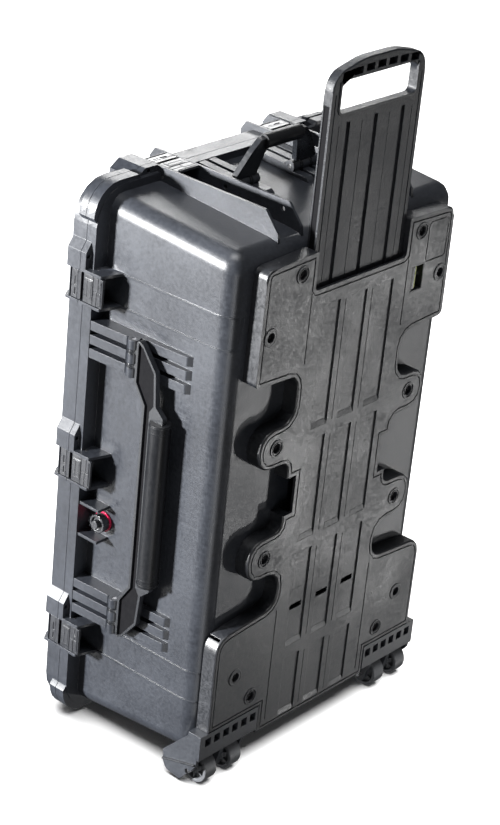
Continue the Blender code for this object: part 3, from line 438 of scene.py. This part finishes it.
def round_edges(bm, width, angle=30.0, segments=2, chosen=None):
    """Bevels the sharp edges, but not those beside an edge too short to share."""
    edges = []
    for edge in bm.edges:
        if len(edge.link_faces) != 2 or edge.calc_face_angle(0.0) < math.radians(angle):
            continue
        if chosen is not None and not chosen(edge):
            continue
        if all(roomy(vert, 1.9 * width) for vert in edge.verts):
            edges.append(edge)
    bmesh.ops.bevel(
        bm, geom=edges, offset=width, segments=segments, profile=0.5, affect="EDGES", clamp_overlap=True
    )


def piece_from(bm, name, body, slot, smooth=38.0):
    """The bmesh as a smooth-shaded piece that rides on a body."""
    piece = object_of(bm, name)
    for polygon in piece.data.polygons:
        polygon.use_smooth = True
    piece.data.set_sharp_from_angle(angle=math.radians(smooth))
    piece.data.materials.append(MATERIALS[slot])
    weighted = piece.modifiers.new("Flat faces", "WEIGHTED_NORMAL")
    weighted.keep_sharp = True
    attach(piece, body)
    return piece


def refine(node, width, bm=None, slot=None):
    """Shows a node as a piece of its own with softened edges. bm is the node's mesh, if it was cut."""
    bm = bm or cad_bmesh(node)
    round_edges(bm, width)
    piece = piece_from(bm, f"{node}_shown", BODY_OF[node], slot or SLOT_OF[node])
    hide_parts(node)
    return piece


def detail(pieces, name, body, slot, width=0.0004):
    """Small solids on a node's surface, as one piece."""
    bm = merged(pieces)
    if width:
        round_edges(bm, width)
    return piece_from(bm, name, body, slot)


def paint(node, slot=None):
    mesh = NODES[node].data
    mesh.materials.clear()
    mesh.materials.append(MATERIALS[slot or SLOT_OF[node]])


# ---- Frames --------------------------------------------------------------------------------
OUTWARDS = {"side": (-1, 0, 0), "top": (0, 0, 1), "bottom": (0, 0, -1)}


def rim_frame(side, place):
    """A frame at place with u outwards from the rim, v along +Y and w across both."""
    u = Vector(OUTWARDS[side])
    v = Vector((0, 1, 0))
    turned = Matrix((u, v, u.cross(v))).transposed().to_4x4()
    turned.translation = place
    return turned


def middle_of(node):
    low, high = (Vector(corner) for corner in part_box(node))
    return (low + high) / 2


def latch_frame(latch):
    """The rim frame of a latch, found from the pin that its hook turns on."""
    side = latch.split("_")[0]
    u = Vector(OUTWARDS[side])
    return rim_frame(side, middle_of(f"{latch}_pin") - HOOK_PIN[0] * u - Vector((0, HOOK_PIN[1], 0)))


def face_frame(y):
    """A frame for outlines of (x, z) in the upright plane at y."""
    return Matrix.Translation((0, y, 0)) @ FACE_ON


# ---- Shells --------------------------------------------------------------------------------
def show_shells():
    refine("base_shell", 0.0009)
    refine("lid_shell", 0.0009)


# ---- Latches -------------------------------------------------------------------------------
LATCHES = [node[:-4] for node in NODES if node.endswith("_pin") and "latch" in node]


def lever_grooves(place):
    """The fine lines that divide a lever's face."""
    deep = (LEVER_FACE_U - 0.0005, LEVER_FACE_U + 0.004)
    lines = (
        ((0.0605, -0.0006), (0.0735, 0.0006)),
        ((0.0728, -LATCH_HALF - 0.001), (0.0740, LATCH_HALF + 0.001)),
        ((0.0660, 0.0006), (0.0671, LATCH_HALF + 0.001)),
        ((0.0637, -LATCH_HALF - 0.001), (0.0648, -0.0006)),
    )
    return [block((deep[0], v0, w0), (deep[1], v1, w1), place) for (v0, w0), (v1, w1) in lines]


def lever_ridges(place):
    """A grip ridge near the lever's free end and a raised rim round its pad."""
    ridge = block((0.0078, 0.0590, -0.0165), (0.0087, 0.0600, 0.0165), place)
    pad = rounded_box(PAD_V, (-PAD_HALF, PAD_HALF), 0.0015)
    # the pad's rim lies in the v-w plane, raised along u
    return [ridge, ribbon(pad, 0.0010, 0.0084, 0.0089, place @ LYING)]


def hook_lines(place):
    """A line across the claw and a short slot at one side."""
    return [
        block((0.0075, 0.1010, -0.0210), (0.0120, 0.1017, 0.0210), place),
        block((0.0070, 0.1045, 0.0060), (0.0120, 0.1060, 0.0150), place),
    ]


def show_latches():
    for latch in LATCHES:
        place = latch_frame(latch)
        lever = f"{latch}_lever"
        hook = f"{latch}_hook"
        refine(lever, 0.0005, carved(cad_bmesh(lever), lever_grooves(place)))
        refine(hook, 0.0005, carved(cad_bmesh(hook), hook_lines(place)))
        detail(lever_ridges(place), f"{lever}_ridges", BODY_OF[lever], "latch", 0.0002)


# ---- Trolley panel -------------------------------------------------------------------------
SCREW_NODES = sorted(node for node in NODES if node.startswith("panel_screw_"))


def outline_of(node, place, level):
    """The longest loop round a node's flat faces at a level above place's own plane, as (x, y)."""
    bm = cad_bmesh(node)
    bm.transform(place.inverted())
    bm.normal_update()
    # a list, because a set of faces has another order each run
    flat = []
    for face in bm.faces:
        if face.normal.z > 0.99 and abs(face.calc_center_median().z - level) < 1e-4:
            flat.append(face)
    rim = {}
    for face in flat:
        for edge in face.edges:
            if any(other not in flat for other in edge.link_faces):
                for vert in edge.verts:
                    rim.setdefault(vert, []).append(edge)
    loops = []
    seen = set()
    for start in rim:
        loop = []
        here = start
        while here is not None and here not in seen:
            seen.add(here)
            loop.append(here)
            onward = [edge.other_vert(here) for edge in rim[here]]
            here = next((vert for vert in onward if vert not in seen), None)
        if loop:
            loops.append([vert.co.xy for vert in loop])
    bm.free()
    longest = max(loops, key=lambda loop: sum((a - b).length for a, b in zip(loop, loop[1:])))
    # always from the point furthest along x, so that each run gives the same mesh
    first = max(range(len(longest)), key=lambda i: tuple(longest[i]))
    return longest[first:] + longest[:first]


def crossing(a, b):
    """Where two lines, each a (point, direction), meet."""
    turn = a[1].x * b[1].y - a[1].y * b[1].x
    if abs(turn) < 1e-3:
        return (a[0] + b[0]) / 2 if (a[0] - b[0]).length < 0.004 else b[0]
    gap = b[0] - a[0]
    return a[0] + a[1] * ((gap.x * b[1].y - gap.y * b[1].x) / turn)


def inset(outline, distance):
    """The outline moved inwards by distance. Edges that would turn round are left out."""
    area = sum(a.x * b.y - b.x * a.y for a, b in zip(outline, outline[1:] + outline[:1]))
    side = 1 if area > 0 else -1
    lines = []
    for here, after in zip(outline, outline[1:] + outline[:1]):
        along = (after - here).normalized()
        if along.length > 0.5:
            lines.append((here + side * distance * Vector((-along.y, along.x)), along))
    while True:
        count = len(lines)
        spots = [crossing(lines[i - 1], lines[i]) for i in range(count)]
        worst = min(range(count), key=lambda i: (spots[(i + 1) % count] - spots[i]).dot(lines[i][1]))
        if (spots[(worst + 1) % count] - spots[worst]).dot(lines[worst][1]) > -1e-7:
            break
        del lines[worst]
    kept = []
    for spot in spots:
        if not kept or (spot - kept[-1]).length > 0.0002:
            kept.append(spot)
    return kept


def upright_groove(x, half_width, face_y, depth, low, high):
    """A cutter for a groove that runs up a face whose outer side looks along -Y."""
    return block((x - half_width, face_y - 0.002, low), (x + half_width, face_y + depth, high))


def panel_cutters():
    """Fine grooves in the panel's face: one inside its outline, and straight ones."""
    face = face_frame(PANEL_Y)
    outline = outline_of("trolley_panel", face, 0.0)
    within = prism(inset(outline, 0.0076), -0.003, 0.003, face)
    cutters = [carved(prism(inset(outline, 0.0058), -0.0014, 0.002, face), [within])]
    for sign in (-1, 1):
        for low, high in CHANNEL_Z:
            cutters.append(upright_groove(sign * RIB_X, 0.0006, PANEL_Y, 0.0008, low + 0.003, high - 0.003))
    for sign in (-1, 1):
        for low, high in WING_GROOVE_Z:
            cutters.append(upright_groove(sign * WING_GROOVE_X, 0.0008, PANEL_Y, 0.0012, low, high))
    wing = rounded_box((0.138, 0.180), (0.682, 0.738), 0.004, 0.006)
    cutters.append(ribbon(wing, 0.0015, -0.0011, 0.002, face))
    return cutters


def channel_ramps():
    """The slope at the foot of each channel, from its floor up to the panel's face."""
    ramps = []
    for low, _ in CHANNEL_Z:
        section = [
            (PANEL_Y + 0.0003, low - 0.0010),
            (PANEL_Y + 0.0003, low + 0.0004),
            (PANEL_Y + 0.0021, low + 0.0075),
            (PANEL_Y + 0.0030, low + 0.0075),
            (PANEL_Y + 0.0030, low - 0.0010),
        ]
        for x in CHANNEL_X:
            ramps.append(prism(section, x - CHANNEL_HALF, x + CHANNEL_HALF, LYING))
    return ramps


def rolled_outline(edge):
    """Whether an edge lies on the panel's outline, where the plate turns back towards the case."""
    if any(abs(vert.co.y - PANEL_Y) > 1e-4 for vert in edge.verts):
        return False
    for face in edge.link_faces:
        depth = [vert.co.y for vert in face.verts]
        if abs(face.normal.y) < 0.1 and max(depth) - min(depth) > 0.012:
            x = abs(face.calc_center_median().x)
            z = face.calc_center_median().z
            in_release_window = 0.110 < x < 0.137 and 0.64 < z < 0.69
            return not in_release_window
    return False


def screw_rims():
    """Two raised rings round each screw."""
    rims = []
    for node in SCREW_NODES:
        middle = middle_of(node)
        for outer, inner, height, proud in SCREW_RINGS:
            rims.append(hoop((middle.x, PANEL_Y - proud, middle.z), outer, inner, height, ALONG_Y))
    return rims


def window_rim():
    """The raised rim of the release button's window, and the guard at the button's outer side."""
    rim = ribbon(rounded_box(WINDOW_X, WINDOW_Z, 0.002), 0.0014, -0.001, 0.0002, face_frame(PANEL_Y))
    button_x = middle_of("release_button").x
    guard_low = (button_x + 0.0065, PANEL_Y + 0.0012, WINDOW_Z[0] + 0.003)
    guard_high = (button_x + 0.0115, PANEL_Y + 0.0040, WINDOW_Z[1] - 0.003)
    return [rim, block(guard_low, guard_high)]


def show_panel():
    bm = carved(cad_bmesh("trolley_panel"), panel_cutters())
    round_edges(bm, 0.0028, 30.0, 4, rolled_outline)
    refine("trolley_panel", 0.0005, bm)
    detail(screw_rims(), "panel_screw_rims", "base", "panel", 0.0004)
    detail(channel_ramps(), "panel_channel_ramps", "base", "panel", 0.0)
    detail(window_rim(), "release_window_rim", "base", "panel", 0.0003)
    for node in SCREW_NODES:
        refine(node, 0.0004, slot="dark_steel")


# ---- Trolley handle ------------------------------------------------------------------------
def plate_cutters():
    """Upright lines in the plate's face."""
    face = PLATE_LOW.y
    edge_line = PLATE_HIGH.x - 0.0068
    cutters = []
    for sign in (-1, 1):
        cutters.append(upright_groove(sign * edge_line, 0.0008, face, 0.0014, PLATE_LOW.z + 0.010, 0.955))
        for x in PLATE_LINES_X:
            cutters.append(upright_groove(sign * x, 0.0004, face, 0.0006, PLATE_LOW.z + 0.020, 0.912))
        ends = (PLATE_LOW.z + 0.010, 0.940)
        cutters.append(side_channel(sign, (-0.0016, 0.0010), (0.0034, 0.0118), ends))
    return cutters


def side_channel(sign, past_edge, behind_face, ends):
    """A long block in a narrow side of the plate: how far past its edge, behind its face, and its two z."""
    x0, x1 = sorted(sign * (PLATE_HIGH.x + past) for past in past_edge)
    y0, y1 = (PLATE_LOW.y + behind for behind in behind_face)
    return block((x0, y0, ends[0]), (x1, y1, ends[1]))


def hand_hole_rim():
    """A raised rim round the hand hole's sides and foot."""
    width, low, high = HAND_HOLE
    foot = [(-width, low, 0.008), (width, low, 0.008)]
    ends = arc_corners([*foot, (width, high, 0.0), (-width, high, 0.0)], 6)
    path = [ends[-1], *ends[:-1]]
    return ribbon(path, 0.0036, -0.002, 0.0014, face_frame(PLATE_LOW.y), False)


def show_trolley_handle():
    """The plate with its rolled edge, a raised rim round the hand hole, and fine lines."""
    body = BODY_OF["trolley_handle"]
    ends = (PLATE_LOW.z + 0.011, 0.939)
    # near-black sheets on the side channels' floors: painted shade, so the channels read dark
    shade_floors = [side_channel(sign, (-0.0025, -0.0012), (0.0035, 0.0117), ends) for sign in (-1, 1)]
    detail(shade_floors, "trolley_handle_side_channel_shade", body, "seal", 0.0)
    bm = carved(cad_bmesh("trolley_handle"), plate_cutters())
    round_edges(bm, 0.0026, 30.0, 4, rolled_plate_edge)
    refine("trolley_handle", 0.0006, bm, "trolley")
    detail([hand_hole_rim()], "hand_hole_rim", body, "trolley", 0.0010)


def rolled_plate_edge(edge):
    """Whether an edge lies on the handle plate's outer outline or round its hand hole."""
    for face in edge.link_faces:
        depth = [vert.co.y for vert in face.verts]
        if abs(face.normal.y) < 0.1 and max(depth) - min(depth) > 0.012:
            return any(abs(other.normal.y) > 0.9 for other in edge.link_faces)
    return False


# ---- Carrying handles ----------------------------------------------------------------------
def handle_frame(name, side, spin):
    """A carrying handle's frame, from its pins, turned about its pivot as it stands in the model."""
    pins = [node for node in NODES if node.startswith(f"{name}_pin_")]
    middle = (middle_of(pins[0]) + middle_of(pins[1])) / 2
    return rim_frame(side, middle) @ Matrix.Rotation(math.radians(spin), 4, "Z")


def barrel_rings(place, half_span):
    """Raised rings on the handle's barrels, on both sides."""
    rings = []
    for sign in (-1, 1):
        for step in (-0.5, 0.5):
            for edge in (-0.0019, 0.0019):
                w = sign * half_span + step * 0.0195 + edge
                rings.append(hoop((0.0, 0.0, w), 0.0088, 0.0070, 0.0010, ALONG_Z, place, 28))
    return rings


# half of the recess in the side handle's plate as (w, v) from its pivot: along the bar, then round one arm
SIDE_RECESS = (
    (0.1355, -0.0300),
    (0.1622, -0.0124),
    (0.2170, -0.0124),
    (0.2125, -0.0198),
    (0.1845, -0.0414),
    (0.1400, -0.0452),
    (0.1300, -0.0385),
)
# one of the two recesses in the top handle's plate
TOP_RECESS = (
    (0.0350, -0.0425),
    (0.0425, -0.0116),
    (0.0770, -0.0116),
    (0.0575, -0.0420),
    (0.0450, -0.0545),
    (0.0370, -0.0500),
)


def show_handle_plate(name, place, outlines):
    """A handle's plate with recesses, whose floors are near-black sheets of painted shade."""
    flat = place @ LYING
    bm = carved(cad_bmesh(name), [prism(outline, 0.0002, 0.010, flat) for outline in outlines])
    refine(name, 0.0006, bm)
    # near-black sheets on the recess floors: painted shade inside the recesses
    shade_floors = [prism(outline, -0.0010, 0.0006, flat) for outline in outlines]
    detail(shade_floors, f"{name}_recess", BODY_OF[name], "seal", 0.0)


def swapped(outline, sign):
    """An outline of (w, v) as (v, w), or its mirror image for a sign of -1."""
    return [(v, sign * w) for w, v in outline]


def show_side_handle():
    place = handle_frame("side_handle", "side", 0.0)
    body = BODY_OF["side_handle"]
    show_handle_plate("side_handle", place, [swapped(SIDE_RECESS, 1) + swapped(SIDE_RECESS, -1)[::-1]])
    detail(barrel_rings(place, 0.192), "side_handle_rings", body, "handle", 0.0003)
    refine("side_handle_grip", 0.0010)
    collars = []
    for sign in (-1, 1):
        for step, size in ((0.1165, 0.0152), (0.1085, 0.0148)):
            centre = (0.0, -0.056, sign * step)
            collars.append(hoop(centre, size, size - 0.003, 0.0030, ALONG_Z, place))
    detail(collars, "side_handle_grip_collars", body, "grip", 0.0005)


def show_top_handle():
    place = handle_frame("top_handle", "top", TOP_HANDLE_TURN)
    body = BODY_OF["top_handle"]
    show_handle_plate("top_handle", place, [swapped(TOP_RECESS, 1), swapped(TOP_RECESS, -1)])
    refine("top_handle_grip", 0.0008)
    detail(barrel_rings(place, 0.060), "top_handle_rings", body, "handle", 0.0003)


# ---- Wheels and their housings -------------------------------------------------------------
def show_wheels():
    for node in NODES:
        if not node.startswith("wheel_") or not node.endswith(("inner", "outer")):
            continue
        middle = middle_of(node)
        refine(node, 0.0010)
        spokes = []
        for k in range(SPOKE_COUNT):
            turn = Matrix.Translation(middle) @ Matrix.Rotation(2 * math.pi * k / SPOKE_COUNT, 4, "X")
            for side in (-1, 1):
                low, high = sorted((side * 0.0055, side * 0.0098))
                spokes.append(block((low, -0.0009, 0.0078), (high, 0.0009, 0.0168), turn))
        detail(spokes, f"{node}_spokes", BODY_OF[node], "wheel", 0.0003)


def show_housings():
    for side, sign in (("left", -1), ("right", 1)):
        node = f"wheel_housing_{side}"
        refine(node, 0.0006, slot="housing")
        low, high = (Vector(corner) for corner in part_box(node))
        outer = high.x if sign > 0 else low.x
        # a folded lip across the outer plate
        lip = [(-0.1490, 0.0375), (-0.0925, 0.0215), (-0.0925, 0.0240), (-0.1490, 0.0400)]
        ends = sorted((outer - sign * 0.001, outer + sign * 0.0035))
        detail([prism(lip, *ends, LYING)], f"{node}_lip", BODY_OF[node], SLOT_OF[node], 0.0004)


# ---- Purge valve ---------------------------------------------------------------------------
def show_valve():
    refine("purge_valve_body", 0.0006)
    low, high = (Vector(corner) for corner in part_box("purge_valve_body"))
    middle = (low + high) / 2
    cap = Matrix.Translation((low.x + 0.006, middle.y, middle.z))
    lugs = []
    for k in range(VALVE_GRIP_COUNT):
        turn = cap @ Matrix.Rotation(2 * math.pi * k / VALVE_GRIP_COUNT, 4, "X")
        lugs.append(block((-0.0025, -0.0010, 0.0126), (0.0025, 0.0010, 0.0136), turn))
    detail(lugs, "purge_valve_grips", BODY_OF["purge_valve_body"], "latch", 0.0003)


# ---- Floor, lights and camera --------------------------------------------------------------
LAMP_AIM = (0.0, 0.0, 0.5)


def make_floor():
    bm = bmesh.new()
    bmesh.ops.create_grid(bm, x_segments=1, y_segments=1, size=12.0)
    floor = object_of(bm, "floor")
    material = bpy.data.materials.new("floor")
    material.use_nodes = True
    shader = material.node_tree.nodes["Principled BSDF"]
    shader.inputs["Base Color"].default_value = (0.90, 0.90, 0.90, 1.0)
    shader.inputs["Roughness"].default_value = 0.9
    floor.data.materials.append(material)
    floor.location.z = -0.0005
    floor.visible_glossy = False
    floor.visible_diffuse = False
    floor.visible_shadow = False
    return floor


def softbox(name, place, size, power, floor, floor_state="EXCLUDE"):
    """A rectangular lamp that faces the case. It leaves the floor out, or lights the floor alone."""
    light = bpy.data.lights.new(name, "AREA")
    light.shape = "RECTANGLE"
    light.size = size[0]
    light.size_y = size[1]
    light.energy = power
    lamp = bpy.data.objects.new(name, light)
    bpy.context.scene.collection.objects.link(lamp)
    lamp.location = place
    lamp.rotation_mode = "QUATERNION"
    lamp.rotation_quaternion = (Vector(LAMP_AIM) - Vector(place)).to_track_quat("-Z", "Y")
    linked = bpy.data.collections.new(f"{name} light")
    linked.objects.link(floor)
    linked.collection_objects[0].light_linking.link_state = floor_state
    lamp.light_linking.receiver_collection = linked


def make_lights(floor):
    softbox("key", (-3.0, 1.5, 1.15), (0.35, 0.35), 500.0, floor)
    softbox("back", (2.4, 2.6, 2.2), (1.6, 0.9), 55.0, floor)
    softbox("front", (-2.0, -2.7, -1.0), (0.3, 1.4), 20.0, floor)
    softbox("panel sheen", (2.2, -1.95, -1.10), (0.2, 0.2), 10.0, floor)
    softbox("trolley sheen", (2.25, -1.95, -0.30), (0.3, 0.3), 9.0, floor)
    softbox("side sheen", (-2.4, 1.8, -0.9), (0.7, 0.7), 8.0, floor)
    softbox("overhead", (-0.6, -0.3, 3.6), (1.2, 1.2), 60.0, floor)
    softbox("floor", (0.0, 0.0, 5.5), (7.0, 7.0), 1500.0, floor, "INCLUDE")
    world = bpy.data.worlds.new("studio")
    world.use_nodes = True
    world.node_tree.nodes["Background"].inputs["Color"].default_value = (1.0, 1.0, 1.0, 1.0)
    world.node_tree.nodes["Background"].inputs["Strength"].default_value = 0.10
    bpy.context.scene.world = world


def make_camera():
    azimuth = math.radians(CAMERA_AZIMUTH)
    elevation = math.radians(CAMERA_ELEVATION)
    roll = math.radians(CAMERA_ROLL)
    back = Vector((
        math.sin(azimuth) * math.cos(elevation),
        -math.cos(azimuth) * math.cos(elevation),
        math.sin(elevation),
    ))
    right = (-back).cross(Vector((0.0, 0.0, 1.0))).normalized()
    up = right.cross(-back)
    across = math.cos(roll) * right + math.sin(roll) * up
    upward = -math.sin(roll) * right + math.cos(roll) * up
    data = bpy.data.cameras.new("camera")
    data.sensor_width = 36.0
    data.lens = CAMERA_LENS
    camera = bpy.data.objects.new("camera", data)
    bpy.context.scene.collection.objects.link(camera)
    turned = Matrix((across, upward, back)).transposed().to_4x4()
    camera.matrix_world = Matrix.Translation(CAMERA_PLACE) @ turned
    bpy.context.scene.camera = camera


for node_name in NODES:
    paint(node_name)
show_shells()
show_latches()
show_panel()
show_trolley_handle()
show_side_handle()
show_top_handle()
show_wheels()
show_housings()
show_valve()
make_lights(make_floor())
make_camera()
bpy.context.scene.view_settings.view_transform = "Standard"

bpy.context.view_layer.update()
